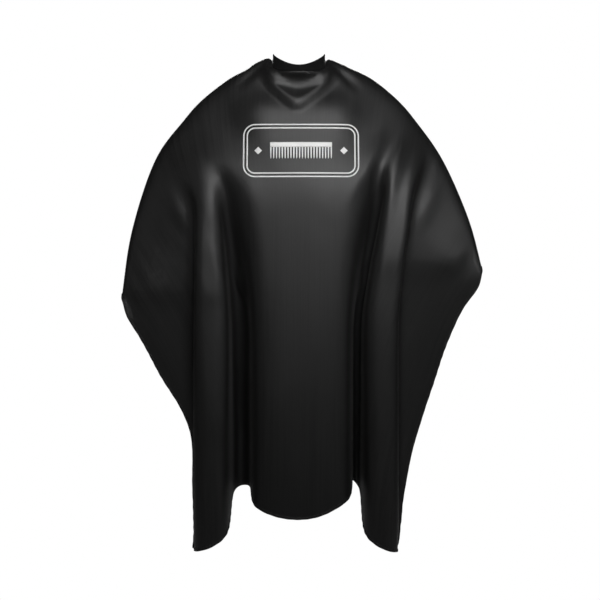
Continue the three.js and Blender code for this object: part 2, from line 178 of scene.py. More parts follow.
def satin():
    """Black polyester satin: fine warp threads, faint streaks along them. UV is the flat cut in metres."""
    n = Nodes("black_satin")
    cut = n.source("UV")
    streaks = n.stretched(cut, (260, 2.2, 1), Scale=1.0, Detail=3.0, Roughness=0.7)
    slubs = n.stretched(cut, (900, 14, 1), Scale=1.0, Detail=2.0)
    warp = n.stretched(cut, (1, 1, 1), "ShaderNodeTexWave", Scale=520.0, Distortion=0.4)
    mottled = n.stretched(cut, (1, 1, 1), Scale=4.0, Detail=2.0)
    n.tint(n.ramp(streaks, 0, 1), (0.0080, 0.0080, 0.0082), (0.0150, 0.0148, 0.0146))
    gloss = n.math("ADD", n.ramp(streaks, 0.40, 0.46), n.ramp(mottled, -0.02, 0.02))
    n.link(gloss, n.shader.inputs["Roughness"])
    raised = n.math("ADD", streaks, n.math("MULTIPLY", slubs, 0.6))
    n.bump(n.math("ADD", n.math("MULTIPLY", warp, 0.35), raised), 0.0002, 0.5)
    n.set(Specular_IOR_Level=0.45, Sheen_Weight=0.04, Sheen_Roughness=0.35)
    return n.material


def tape():
    """Woven binding tape, ribbed across."""
    n = Nodes("black_tape")
    ribs = n.grain(Scale=900.0, Detail=2.0)
    worn = n.grain(Scale=30.0, Detail=3.0)
    n.tint(n.ramp(worn, 0, 1), (0.004, 0.004, 0.004), (0.009, 0.009, 0.009))
    n.rough(ribs, 0.55, 0.75)
    n.bump(ribs, 0.0003, 0.6)
    n.set(Sheen_Weight=0.08, Sheen_Roughness=0.5)
    return n.material


def knit():
    """Matt black fabric of the neckband."""
    n = Nodes("black_neckband")
    loops = n.grain("ShaderNodeTexVoronoi", Scale=1100.0)
    fuzz = n.grain(Scale=260.0, Detail=4.0)
    n.tint(n.ramp(fuzz, 0, 1), (0.0022, 0.0022, 0.0024), (0.0055, 0.0055, 0.0057))
    n.rough(fuzz, 0.75, 0.92)
    n.bump(n.math("ADD", loops, fuzz), 0.0004, 0.7)
    n.set(Specular_IOR_Level=0.2, Sheen_Weight=0.02, Sheen_Roughness=0.5)
    return n.material


def felt():
    """Pale interlining inside the neckband."""
    n = Nodes("pale_interlining")
    fibres = n.grain(Scale=700.0, Detail=5.0)
    n.tint(n.ramp(fibres, 0, 1), (0.55, 0.54, 0.50), (0.72, 0.71, 0.67))
    n.rough(fibres, 0.85, 0.95)
    n.bump(fibres, 0.0003, 0.6)
    return n.material


def film():
    """White printed film, a little grainy where the weave shows through."""
    n = Nodes("white_print")
    grain = n.grain(Scale=420.0, Detail=3.0)
    patches = n.grain(Scale=25.0, Detail=2.0)
    n.tint(n.ramp(patches, 0, 1), (0.88, 0.88, 0.87), (0.95, 0.95, 0.94))
    n.rough(grain, 0.45, 0.6)
    n.bump(grain, 0.0001, 0.4)
    return n.material


def nickel():
    """Pressed nickel of the snap fasteners."""
    n = Nodes("nickel_snap")
    scuffs = n.grain(Scale=500.0, Detail=4.0)
    n.tint(n.ramp(scuffs, 0, 1), (0.50, 0.50, 0.51), (0.66, 0.66, 0.67))
    n.rough(scuffs, 0.22, 0.38)
    n.bump(scuffs, 0.00005, 0.4)
    n.set(Metallic=1.0)
    return n.material


LOOKS = {
    "cloth": satin(),
    "binding": tape(),
    "neckband": knit(),
    "interlining": felt(),
    "print": film(),
    "snap_metal": nickel(),
}

# ---------------------------------------------------------------- mesh helpers


def smooth(x, start, stop):
    t = np.clip((x - start) / (stop - start), 0, 1)
    return t * t * (3 - 2 * t)


def spline(points, each=24):
    """Catmull-Rom curve through points, with that many steps from each to the next."""
    p = np.array(points, float)
    p = np.vstack([2 * p[0] - p[1], p, 2 * p[-1] - p[-2]])
    t = np.linspace(0, 1, each, endpoint=False)[:, None]
    runs = [
        0.5 * (2 * b + (c - a) * t + (2 * a - 5 * b + 4 * c - d) * t**2 + (3 * b - a - 3 * c + d) * t**3)
        for a, b, c, d in zip(p, p[1:], p[2:], p[3:])
    ]
    return np.vstack([*runs, p[-2]])


def lengths(line):
    return np.r_[0, np.cumsum(np.linalg.norm(np.diff(line, axis=0), axis=1))]


def read_off(where, at, values):
    """What rows of values, given at these places, are in between."""
    return np.stack([np.interp(where, at, c) for c in values.T], -1)


def along(line, share):
    """Points at these shares of a line's length."""
    at = lengths(line)
    return read_off(np.asarray(share) * at[-1], at, line)


def unit(v):
    return v / np.maximum(np.linalg.norm(v, axis=-1, keepdims=True), 1e-12)


def make_piece(name, points, faces, look, body="root", uv=None):
    mesh = bpy.data.meshes.new(name)
    mesh.from_pydata([tuple(p) for p in points], [], [tuple(f) for f in faces])
    mesh.validate()
    mesh.shade_smooth()
    if uv is not None:
        layer = mesh.uv_layers.new(name="cut")
        corner = np.zeros(len(mesh.loops), int)
        mesh.loops.foreach_get("vertex_index", corner)
        layer.data.foreach_set("uv", np.asarray(uv)[corner].ravel())
    mesh.materials.append(LOOKS[look])
    piece = placed(name, mesh)
    if body:
        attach(piece, body)
    return piece


def tube(rings):
    """Points and faces of a closed tube through rings of equal length."""
    rings = np.asarray(rings)
    count, size = rings.shape[:2]
    faces = []
    for k in range(count - 1):
        for p in range(size):
            q = (p + 1) % size
            faces.append((k * size + p, k * size + q, (k + 1) * size + q, (k + 1) * size + p))
    last = (count - 1) * size
    faces.append(tuple(range(size))[::-1])
    faces.append(tuple(last + p for p in range(size)))
    return rings.reshape(-1, 3), faces


def joined(parts):
    """Several (points, faces) as one."""
    points, faces, start = [], [], 0
    for some, sides in parts:
        points.append(np.asarray(some))
        faces += [tuple(start + i for i in f) for f in sides]
        start += len(some)
    return np.vstack(points), faces


STITCH_RINGS, STITCH_SIDES = 5, 6


def stitch(start, stop, lift, radius):
    """One thread stitch: a small arch from start to stop, raised along lift."""
    rings = []
    axis = unit(stop - start)
    side = np.cross(axis, lift)
    for t in np.linspace(0, 1, STITCH_RINGS):
        middle = start + (stop - start) * t + lift * radius * (1.6 * math.sin(math.pi * t) - 0.6)
        thick = radius * (0.6 + 0.4 * math.sin(math.pi * t))
        turn = [2 * math.pi * k / STITCH_SIDES for k in range(STITCH_SIDES)]
        rings.append([middle + thick * (side * math.cos(a) + lift * math.sin(a)) for a in turn])
    return tube(rings)


# ---------------------------------------------------------------- neckband path, as in the CAD

NECK_HALF_WIDTH, NECK_HALF_DEPTH = 74 * MM, 75 * MM
BAND_HALF, BAND_SKIN = 18.5 * MM, 1.4 * MM
EAR_UP, FRONT_UP = 4.7 * MM, -25.5 * MM
FRONT_TILT, TILT_POWER = math.radians(53), 1.2
SEAM_DROP = BAND_HALF + 0.2 * MM


def band_frame(angle):
    """Middle of the band, its up direction and its outward direction, from the left ear to the right one."""
    front = max(math.cos(angle), 0.0)
    at = np.array(
        [NECK_HALF_WIDTH * math.sin(angle), -NECK_HALF_DEPTH * front, EAR_UP + (FRONT_UP - EAR_UP) * front]
    )
    outward = unit(np.array([NECK_HALF_DEPTH * math.sin(angle), -NECK_HALF_WIDTH * front, 0.0]))
    tilt = FRONT_TILT * front**TILT_POWER
    level = np.array([0, 0, 1.0])
    cos, sin = math.cos(tilt), math.sin(tilt)
    return at, level * cos - outward * sin, outward * cos + level * sin


SEAM_ANGLES = np.linspace(0, math.pi / 2, 61)
SEAM = np.array([at - up * SEAM_DROP for at, up, _ in map(band_frame, SEAM_ANGLES)])


def neck(angle, side):
    """Where the cloth leaves the band, at an angle from the front, on one side."""
    seam = read_off(angle, SEAM_ANGLES, SEAM)
    seam[..., 0] *= side
    return seam


# ---------------------------------------------------------------- flat cut and how it is held

CUT_WIDTH, CUT_LENGTH, NOTCH = 1.50, 1.36, 0.075
GRIP = {-1: 0.60, 1: 0.505}  # how far below its top corner each hand holds a side edge

# The arms' upper outline, from the neck to the hand
RIDGE = {
    -1: [(-.0765, 0, -.012), (-.0775, 0, .004), (-.083, 0, .012), (-.093, 0, .011), (-.125, 0, -.004),
         (-.154, .002, -.022), (-.204, .005, -.048), (-.281, .005, -.108), (-.335, .005, -.168),
         (-.418, 0, -.284), (-.484, -.015, -.487), (-.516, -.035, -.690)],
    1: [(.0765, 0, -.012), (.0775, 0, .002), (.082, 0, .009), (.091, 0, .007), (.120, 0, -.006),
        (.158, .002, -.021), (.214, .005, -.049), (.286, .005, -.108), (.338, .005, -.168),
        (.418, 0, -.284), (.492, -.015, -.455), (.534, -.035, -.609)],
}
# The lower outline, from the hand down the side edge to the corner and along the hem to its middle
OUTLINE = {
    -1: [(-.516, -.035, -.690), (-.415, -.02, -.885), (-.319, 0, -1.059), (-.309, 0, -1.241),
         (-.302, -.03, -1.409), (-.292, -.105, -1.414), (-.245, -.14, -1.414), (-.209, -.11, -1.406),
         (-.203, -.03, -1.340), (-.190, .07, -1.235), (-.160, .085, -1.232), (-.147, .0, -1.243),
         (-.128, -.09, -1.275), (-.08, -.135, -1.300), (-.03, -.150, -1.315), (.020, -.152, -1.320)],
    1: [(.534, -.035, -.609), (.452, -.02, -.763), (.389, 0, -.945), (.325, 0, -1.154),
        (.285, -.03, -1.393), (.274, -.10, -1.412), (.237, -.14, -1.416), (.199, -.115, -1.409),
        (.190, -.03, -1.345), (.185, .07, -1.222), (.166, .085, -1.215), (.152, .0, -1.228),
        (.145, -.09, -1.268), (.11, -.13, -1.298), (.07, -.147, -1.314), (.020, -.152, -1.320)],
}
CORNER_AT = 4
SPLINE_STEPS = 24
ARM_SHARES = (0, .08, .25, .5, .8, 1)
ARM_RADII = (.02, .04, .05, .045, .036, .012)
# Level capsules that stand for the chest and body: half width, depth, height and radius
TORSO = ((.09, .045, -.20, .150), (.085, -.01, -.30, .112), (.075, -.01, -.46, .108), (.075, 0, -.62, .11))
FORWARD = np.array([0, -1.0, 0])
WRAP = 1.6  # how far round an arm the cloth lies to each side of the ridge, in radians


def cut_ridge(side):
    """The line of the flat cut that lies along the top of an arm."""
    start, stop = np.array([NOTCH, 0]), np.array([CUT_WIDTH / 2, GRIP[side]])
    return start + (stop - start) * np.linspace(0, 1, 161)[:, None]


def off_line(line, u, v):
    """Distance from a line of the cut, positive below it, and the share along it."""
    at = lengths(line)
    best, share, sign = np.full(u.shape, 9.0), np.zeros(u.shape), np.zeros(u.shape)
    for k, (du, dv) in enumerate(np.diff(line, axis=0)):
        x, y, size = u - line[k, 0], v - line[k, 1], math.hypot(du, dv)
        t = np.clip((x * du + y * dv) / size**2, 0, 1)
        away = np.hypot(x - t * du, y - t * dv)
        near = away < best
        best = np.where(near, away, best)
        share = np.where(near, (at[k] + t * size) / at[-1], share)
        sign = np.where(near, np.sign(y * du - x * dv), sign)
    return best * sign, share


def arm_up(line, side):
    up = np.cross(np.gradient(line, axis=0), -side * np.array([0, 1.0, 0]))
    return unit(up * np.where(up[:, 2:] < 0, -1, 1))


def over_arm(side, share, off):
    """A point of the cloth that is wrapped over an arm, off the arm's ridge by that much cloth."""
    line = spline(RIDGE[side])
    at = lengths(line)
    up = unit(read_off(share * at[-1], at, arm_up(line, side)))
    radius = np.interp(share, ARM_SHARES, ARM_RADII)[..., None]
    off = np.asarray(off)[..., None]
    angle = np.clip(off / radius, -WRAP, WRAP)
    hanging = np.maximum(np.abs(off) - WRAP * radius, 0)
    return (
        along(line, share) + up * radius * (np.cos(angle) - 1) + FORWARD * radius * np.sin(angle)
        - np.array([0, 0, 1.0]) * hanging
    )


# Crests and valleys across the front at one height, from the middle outwards: distance from the middle
# below the chest, the same near the hem, and depth where the folds are full
FOLDS = {
    -1: [(.000, .000, -.150), (.080, .070, -.148), (.150, .128, -.112), (.205, .146, .085),
         (.217, .190, .090), (.235, .204, -.105), (.270, .255, -.140), (.290, .296, -.124),
         (.296, .306, -.015)],
    1: [(.000, .000, -.150), (.085, .075, -.148), (.165, .143, -.112), (.225, .157, .085), (.238, .178, .090),
        (.255, .190, -.105), (.300, .252, -.140), (.322, .281, -.124), (.328, .288, -.015)],
}
FULL_FOLD_X = .36  # where the front is narrower than this, its folds are squeezed together
ALL_WIDE_UP = -.8  # below this height none are
FOLDS_SPREAD = (.30, .80)  # drop over which the folds move from their upper to their lower places
FOLDS_DEEPEN = (.12, .55)  # drop over which they reach their depth
SECTION_HEIGHTS, SECTION_STEPS = np.linspace(-.06, -1.42, 100), 161
FRONT_OF_ARM = .035
PLAIN_Y, PLAIN_POWER = -.145, 2.4  # middle depth and roundness of the front before it is folded
WING_SHARES = np.array([.35, .7, 1.0])  # the last points of a section, from the folds to the edge
WING_Y, WING_BULGE = -.012, .008
EDGE_GAP, LEAST_STEP = .004, .001
MOST_FOLDED, HALVINGS = 1.25, 20
SLACK = 0.985  # share of the cloth's width that a section takes up


def sections(side, ridge, edge):
    """Level sections of the draped front. Each is folded just so deep that it takes up the cloth's width."""
    whole = spline(RIDGE[side])
    line = whole[np.argmax(whole[:, 2]) :]
    share_at = lengths(whole)[-len(line) :] / lengths(whole)[-1]
    cut_at = lengths(ridge)
    width_at = np.interp(share_at, cut_at / cut_at[-1], ridge[:, 0])
    table, widths = [], []
    for z in SECTION_HEIGHTS:
        if z > line[-1, 2]:
            out, depth = (np.interp(-z, -line[:, 2], c) for c in (np.abs(line[:, 0]), line[:, 1]))
            depth -= FRONT_OF_ARM
            width = np.interp(-z, -line[:, 2], width_at)
        else:
            out, depth = (np.interp(-z, -edge[:, 2], c) for c in (np.abs(edge[:, 0]), edge[:, 1]))
            width = CUT_WIDTH / 2
        low = smooth(-z, *FOLDS_SPREAD)
        squeeze = min(1.0, out / FULL_FOLD_X) if z > ALL_WIDE_UP else 1.0
        x = np.array([a + (b - a) * low for a, b, _ in FOLDS[side]]) * squeeze
        full = np.array([y for _, _, y in FOLDS[side]])
        inner = min(x[-1], out - EDGE_GAP)
        x = np.minimum(x, inner - LEAST_STEP * np.arange(len(x))[::-1])
        x = np.r_[x, inner + (out - inner) * WING_SHARES]
        full = np.r_[full, WING_Y, depth * .5 - WING_BULGE, depth]
        plain = depth + (PLAIN_Y - depth) * np.clip(1 - (x / out) ** PLAIN_POWER, 0, 1)

        def folded(amount):
            points = spline(np.stack([x, plain + amount * (full - plain)], -1), 10)
            return points, lengths(points)[-1]

        few, many = 0.0, MOST_FOLDED
        for _ in range(HALVINGS):
            middle = (few + many) / 2
            few, many = (middle, many) if folded(middle)[1] < width * SLACK else (few, middle)
        shape = folded(few * smooth(-z, *FOLDS_DEEPEN))[0]
        table.append(along(shape, np.linspace(0, 1, SECTION_STEPS)))
        widths.append(width)
    return np.array(table), np.array(widths)


RIDGE_SIDE = .03  # the front falls from this far off the ridge
CHEST_Y, CHEST_BULGE, CHEST_HALF_WIDTH, CHEST_POWER = -.045, .10, .45, .7
CHEST_SHARE = (0, .2)  # share of the fall over which the front comes out to the chest
FALL_SHARE = (.12, .85)  # and that over which it goes on to the hem
EDGE_ZONE = .25  # width beside a side edge that follows the edge's own bend
SECTIONS_FROM = (.14, .34)  # drop over which the level sections take over
OFF_ARM = (.03, .10)  # distance off the ridge over which the arm lets go of the cloth


class Cut:
    """A square grid over the flat cut, with the shape that the cloth is guided towards."""

    def __init__(self, cell):
        columns, rows = (round(size / cell) + 1 for size in (CUT_WIDTH, CUT_LENGTH))
        u, v = np.meshgrid(
            np.linspace(-CUT_WIDTH / 2, CUT_WIDTH / 2, columns), np.linspace(0, CUT_LENGTH, rows)
        )
        radius = np.hypot(u, v)
        self.cloth = radius > NOTCH - cell / 2
        self.seam = self.cloth & (radius < NOTCH + cell / 2)
        snap = np.where(self.seam, NOTCH / np.maximum(radius, 1e-9), 1)
        self.u, self.v = u * snap, v * snap
        self.side = np.where(self.u < 0, -1, 1)
        self.off, self.share = np.zeros_like(u), np.zeros_like(u)
        self.neck = neck(np.arctan2(np.abs(self.u), self.v), self.side)
        self.goal = np.zeros((*u.shape, 3))
        for side in SIDES:
            here = self.side == side
            place = np.abs(self.u[here]), self.v[here]
            self.off[here], self.share[here] = off_line(cut_ridge(side), *place)
            self.goal[here] = self.guide(side, *place, self.off[here], self.share[here])
        self.goal[self.seam] = self.neck[self.seam]

    def guide(self, side, u, v, off, share):
        """Straight falls from the arm or neck to the hem, bulging over the chest, wrapped over the arm."""
        ridge = cut_ridge(side)
        outline = spline(OUTLINE[side], SPLINE_STEPS)
        edge, hem = outline[: CORNER_AT * SPLINE_STEPS + 1], outline[CORNER_AT * SPLINE_STEPS :]
        at = lengths(ridge)
        top = over_arm(side, np.interp(u, ridge[:, 0], at / at[-1]), np.full_like(u, RIDGE_SIDE))
        under_neck = np.arcsin(np.clip(u / NOTCH, 0, 1))
        start = np.where(u < NOTCH, NOTCH * np.cos(under_neck), np.interp(u, ridge[:, 0], ridge[:, 1]))
        mix = smooth(u, NOTCH, 2 * NOTCH)[:, None]
        top = neck(under_neck, side) * (1 - mix) + top * mix
        fall = np.clip((v - start) / (CUT_LENGTH - start), 0, 1)
        bottom = along(hem, 1 - u / (CUT_WIDTH / 2))
        point = top + (bottom - top) * fall[:, None]
        round_chest = np.cos(np.clip(u / CHEST_HALF_WIDTH, 0, 1) * np.pi / 2) ** CHEST_POWER
        chest = CHEST_Y - CHEST_BULGE * round_chest
        depth = top[:, 1] + (chest - top[:, 1]) * smooth(fall, *CHEST_SHARE)
        folding = smooth(fall, *FALL_SHARE)
        point[:, 1] = depth + (bottom[:, 1] - depth) * folding
        down = np.clip((v - GRIP[side]) / (CUT_LENGTH - GRIP[side]), 0, 1)
        bend = along(edge, down) - edge[0] - (edge[-1] - edge[0]) * down[:, None]
        by_edge = smooth(u, CUT_WIDTH / 2 - EDGE_ZONE, CUT_WIDTH / 2)
        point[:, 2] += bend[:, 2] * by_edge * (v > GRIP[side])
        table, widths = sections(side, ridge, edge)
        drops, drop = -SECTION_HEIGHTS, -point[:, 2]
        level = np.interp(drop, drops, np.arange(len(drops)))
        across = np.clip(u / np.interp(drop, drops, widths), 0, 1) * (SECTION_STEPS - 1)
        i = np.minimum(level.astype(int), len(drops) - 2)
        j = np.minimum(across.astype(int), SECTION_STEPS - 2)
        di, dj = (level - i)[:, None], (across - j)[:, None]
        upper = table[i, j] * (1 - dj) + table[i, j + 1] * dj
        lower = table[i + 1, j] * (1 - dj) + table[i + 1, j + 1] * dj
        section = (upper * (1 - di) + lower * di) * np.array([side, 1])
        section_share = smooth(drop, *SECTIONS_FROM)[:, None]
        point[:, :2] = point[:, :2] * (1 - section_share) + section * section_share
        hanging = np.where(off < 0, 0, smooth(off, *OFF_ARM))
        hanging = np.where(u < NOTCH, 1, hanging)[:, None]
        return over_arm(side, share, off) * (1 - hanging) + point * hanging


# ---------------------------------------------------------------- drape of the cloth

GRAVITY = 9.8
TIME_STEP = 1 / 400
KEPT_SPEED = 0.985
TOP_SPEED = 2.0
FRICTION = 0.5
SHEAR = 0.5
BEND = 0.5
GIVE = 0.03  # how much of a squeeze the threads resist in one step
PULL = np.array([0.15, 0.15, 0.08])  # how strongly each step draws the cloth to its goal
END_PULL = 0.01  # added to the upright pull at the rim's corners and middle
NECK_SLACK = (1.01, .002)  # a thread from the neck reaches this share of its length, and this more
LEVELS = ((.03, 600), (.015, 220))  # cell size and steps
FINE_CELL = 0.0075
HELD_OFF, HELD_FROM_NECK = .018, .004  # cloth this near the ridge, but off the neck, doesn't move
RIM_HEM, RIM_SIDE, RIM_END = .10, .06, .10  # reach of the pull at the hem, side edges, and corners
LOW_FROM = (.28, .75)  # length of cloth over which the pull on the front sets in
FREE_FROM = (.02, .08)  # distance off the ridge over which any pull sets in
BY_NECK = (.010, .14)  # cloth this near the ridge and this near the middle isn't smoothed
RIDGE_BLEND = (.012, .045)  # distance off the ridge over which the fine grid follows the goal
SMOOTHINGS = 6


def body_capsules():
    found = []
    for side in SIDES:
        share = np.array([0, .08, .2, .45, .62, .82, 1])
        line = along(spline(RIDGE[side]), share)
        radius = np.interp(share, ARM_SHARES, ARM_RADII) - .003
        middle = line - arm_up(line, side) * (radius + .002)[:, None]
        found += list(zip(middle, middle[1:], radius, radius[1:]))
    for x, y, z, radius in TORSO:
        found.append((np.array([-x, y, z]), np.array([x, y, z]), radius, radius))
    return found


CAPSULES = body_capsules()


def keep_outside(points, before):
    """Moves points out of the wearer's arms and body, with friction."""
    for start, stop, r0, r1 in CAPSULES:
        axis = stop - start
        t = np.clip(((points - start) @ axis) / (axis @ axis), 0, 1)
        middle, radius = start + t[:, None] * axis, r0 + (r1 - r0) * t
        away = points - middle
        size = np.sqrt((away**2).sum(1))
        inside = size < radius
        if inside.any():
            normal = away[inside] / np.maximum(size[inside], 1e-9)[:, None]
            moved = middle[inside] + normal * radius[inside][:, None]
            shift = moved - before[inside]
            shift -= (shift * normal).sum(1)[:, None] * normal
            points[inside] = moved - FRICTION * shift
    return points


def springs(cut, weight):
    """Pairs of grid points with their flat distance: threads, diagonals and longer ones against bending."""
    rows, columns = cut.cloth.shape
    index = np.arange(rows * columns).reshape(rows, columns)
    flat = np.stack([cut.u, cut.v], -1).reshape(-1, 2)
    solid, found = cut.cloth.ravel(), []
    kinds = ((1, 0, 1), (0, 1, 1), (1, 1, SHEAR), (1, -1, SHEAR), (2, 0, -BEND), (0, 2, -BEND))
    for down, across, stiffness in kinds:
        i, j = np.meshgrid(
            np.arange(rows - down), np.arange(max(0, -across), columns - max(0, across)), indexing="ij"
        )
        colour = (i // down if down else j // across) % 2
        for turn in (0, 1):
            mine = colour == turn
            a, b = index[i[mine], j[mine]], index[i[mine] + down, j[mine] + across]
            used = solid[a] & solid[b] & (weight[a] + weight[b] > 0)
            a, b = a[used], b[used]
            rest = np.sqrt(((flat[a] - flat[b]) ** 2).sum(1))
            found.append((a, b, rest, weight[a], weight[b], stiffness))
    return found


def settle(cut, points, weight, pull, steps):
    """Lets the cloth fall and fold. pull is how strongly each point is drawn to its goal."""
    shape, weight = points.shape, weight.ravel()
    pairs, free = springs(cut, weight), weight > 0
    here, goal, pull = points.reshape(-1, 3).copy(), cut.goal.reshape(-1, 3), pull.reshape(-1, 3)
    anchor = cut.neck.reshape(-1, 3)
    reach = (np.maximum(np.hypot(cut.u, cut.v) - NOTCH, 0) * NECK_SLACK[0] + NECK_SLACK[1]).ravel()
    speed = np.zeros_like(here)
    for _ in range(steps):
        speed[free, 2] -= GRAVITY * TIME_STEP
        speed *= KEPT_SPEED
        speed[~free] = 0
        before = here.copy()
        here = here + speed * TIME_STEP
        here += pull * (goal - here)
        for a, b, rest, wa, wb, stiffness in pairs:
            gap = here[a] - here[b]
            size = np.sqrt((gap**2).sum(1))
            error = size - rest
            if stiffness > 0:
                error = np.where(error > 0, error, error * GIVE) * stiffness
            else:  # a pair that only keeps the cloth from folding sharply
                error = np.minimum(error, 0) * -stiffness
            push = (error / (np.maximum(size, 1e-9) * (wa + wb)))[:, None] * gap
            here[a] -= push * wa[:, None]
            here[b] += push * wb[:, None]
        gap = here - anchor
        size = np.sqrt((gap**2).sum(1))
        far = free & (size > reach)
        here[far] = anchor[far] + gap[far] * (reach[far] / size[far])[:, None]
        here[free] = keep_outside(here[free], before[free])
        speed = (here - before) / TIME_STEP
        size = np.sqrt((speed**2).sum(1))
        fast = size > TOP_SPEED
        speed[fast] *= (TOP_SPEED / size[fast])[:, None]
    return here.reshape(shape)


def finer(old, points, new):
    """The shape on a finer grid."""
    points = np.where(old.cloth[..., None], points, old.neck)
    (rows, columns), (more_rows, more_columns) = old.cloth.shape, new.cloth.shape
    i, j = np.linspace(0, rows - 1, more_rows), np.linspace(0, columns - 1, more_columns)
    i0, j0 = np.minimum(i.astype(int), rows - 2), np.minimum(j.astype(int), columns - 2)
    fi, fj = (i - i0)[:, None, None], (j - j0)[None, :, None]
    upper = points[i0][:, j0] * (1 - fj) + points[i0][:, j0 + 1] * fj
    lower = points[i0 + 1][:, j0] * (1 - fj) + points[i0 + 1][:, j0 + 1] * fj
    return upper * (1 - fi) + lower * fi


def relaxed(points, held, passes):
    """Evens out small creases of the grid, leaving held points where they are."""
    for _ in range(passes):
        total, count = points.copy(), np.ones(points.shape[:2])[..., None]
        for axis in (0, 1):
            for step in (-1, 1):
                shifted = np.roll(points, step, axis)
                edge = [slice(None), slice(None)]
                edge[axis] = 0 if step > 0 else -1
                shifted[tuple(edge)] = points[tuple(edge)]
                total = total + shifted
                count = count + 1
        points = np.where(held[..., None], points, total / count)
    return points


def near(distance, reach):
    """1 at no distance, fading out over the reach."""
    return np.exp(-((distance / reach) ** 2))


def draped_cloth():
    """The finest grid, and where its points hang."""
    old, points = None, None
    for cell, steps in LEVELS:
        cut = Cut(cell)
        points = cut.goal.copy() if old is None else finer(old, points, cut)
        points[cut.seam] = cut.neck[cut.seam]
        on_arm = (np.abs(cut.off) < HELD_OFF) & (np.abs(cut.u) > NOTCH + HELD_FROM_NECK)
        points[on_arm] = cut.goal[on_arm]
        weight = (cut.cloth & ~cut.seam & ~on_arm).astype(float)
        from_side = CUT_WIDTH / 2 - np.abs(cut.u)
        rim = (near(CUT_LENGTH - cut.v, RIM_HEM) + near(from_side, RIM_SIDE)).clip(0, 1)[..., None]
        ends = (near(from_side, RIM_END) + near(cut.u, RIM_END)).clip(0, 1)[..., None]
        low = smooth(cut.v, *LOW_FROM)[..., None]
        pull = rim * PULL + low * (1 - rim) * PULL
        pull[..., 2:] += rim * ends * END_PULL
        pull *= smooth(cut.off, *FREE_FROM)[..., None] * weight[..., None]
        points = settle(cut, points, weight, pull, steps)
        old = cut
    fine = Cut(FINE_CELL)
    points = finer(old, points, fine)
    points[fine.seam] = fine.neck[fine.seam]
    by_neck = (np.abs(fine.off) < BY_NECK[0]) & (np.abs(fine.u) < BY_NECK[1])
    on_ridge = (1 - smooth(np.abs(fine.off), *RIDGE_BLEND)) * (np.abs(fine.u) > NOTCH)
    points += (fine.goal - points) * on_ridge[..., None]
    points[fine.seam] = fine.neck[fine.seam]
    return fine, relaxed(points, fine.seam | ~fine.cloth | by_neck, SMOOTHINGS)


cut, drape = draped_cloth()


LOBE_DEPTH, SWAG_DEPTH, CREASE_DEPTH = 0.017, 0.004, 0.007
LOBE_TIP, LOBE_SLANT, LOBE_ROUND = .207, 1.05, .0004
LOBE_STEPS, LOBE_WIDTH = (-.080, -.018, .022), (.050, .100)
SWAG_OFF, SWAG_WIDTH = .020, .007
CREASE_START, CREASE_WAY, CREASE_WIDTH = (.085, .035), (.55, .83), .010


def neck_relief(u, v):
    """Small folds below the neckband: a lobe with a pointed shadow under it, and creases from the ears."""
    under = v - (LOBE_TIP - LOBE_SLANT * np.sqrt(u**2 + LOBE_ROUND))
    rise, crest, fall = LOBE_STEPS
    lobe = smooth(under, rise, crest) * (1 - smooth(under, crest, fall))
    lobe = lobe * (1 - smooth(np.abs(u), *LOBE_WIDTH))
    swag = near(np.hypot(u, v) - NOTCH - SWAG_OFF, SWAG_WIDTH)
    creases = np.zeros_like(u)
    for side in SIDES:
        x, y = side * u - CREASE_START[0], v - CREASE_START[1]
        down, across = x * CREASE_WAY[0] + y * CREASE_WAY[1], x * CREASE_WAY[1] - y * CREASE_WAY[0]
        creases += near(across, CREASE_WIDTH) * smooth(down, -.01, .03) * (1 - smooth(down, .07, .15))
    return LOBE_DEPTH * lobe - SWAG_DEPTH * swag - CREASE_DEPTH * creases


# ---------------------------------------------------------------- cape cloth

CLOTH_HALF = 0.5 * MM


def grid_normals(points, usable):
    """Outward normals of the cloth, from its neighbours on the grid."""
    slopes = []
    for axis in (1, 0):
        ahead, behind = np.roll(points, -1, axis), np.roll(points, 1, axis)
        has_ahead, has_behind = np.roll(usable, -1, axis), np.roll(usable, 1, axis)
        first, last = [slice(None)] * 2, [slice(None)] * 2
        first[axis], last[axis] = 0, -1
        has_behind[tuple(first)] = False
        has_ahead[tuple(last)] = False
        ahead = np.where(has_ahead[..., None], ahead, points)
        behind = np.where(has_behind[..., None], behind, points)
        slopes.append(ahead - behind)
    return unit(np.cross(slopes[1], slopes[0]))


drape = drape + grid_normals(drape, cut.cloth) * (neck_relief(cut.u, cut.v) * ~cut.seam)[..., None]
normals = grid_normals(drape, cut.cloth)


def cape_cloth():
    """The drape with its two faces and its rims, as one closed mesh."""
    index = -np.ones(cut.cloth.shape, int)
    index[cut.cloth] = np.arange(cut.cloth.sum())
    count = int(cut.cloth.sum())
    corners = np.stack([index[:-1, :-1], index[:-1, 1:], index[1:, 1:], index[1:, :-1]], -1).reshape(-1, 4)
    faces = [tuple(int(c) for c in f if c >= 0) for f in corners]
    faces = [f for f in faces if len(f) >= 3]
    edges = {}
    for f in faces:
        for a, b in zip(f, f[1:] + f[:1]):
            edges[(a, b)] = edges.get((a, b), 0) + 1
    rims = [(a, b) for a, b in edges if (b, a) not in edges]
    back = [tuple(count + c for c in reversed(f)) for f in faces]
    walls = [(b, a, count + a, count + b) for a, b in rims]
    points, push = drape[cut.cloth], normals[cut.cloth] * CLOTH_HALF
    flat = np.stack([cut.u, cut.v], -1)[cut.cloth]
    return make_piece(
        "cape_cloth", np.vstack([points + push, points - push]), faces + back + walls, "cloth",
        uv=np.vstack([flat, flat]),
    )


cape = cape_cloth()
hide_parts("cape_body")

# ---------------------------------------------------------------- bound edges

TAPE_HALF_WIDTH, TAPE_HALF_THICK, TAPE_OVERLAP = 4.1 * MM, 1.5 * MM, 2.9 * MM
STITCH_PITCH, STITCH_LENGTH, STITCH_IN, STITCH_RADIUS = 7 * MM, 4.4 * MM, 1.7 * MM, 0.33 * MM
TAPE_TURNS = 14


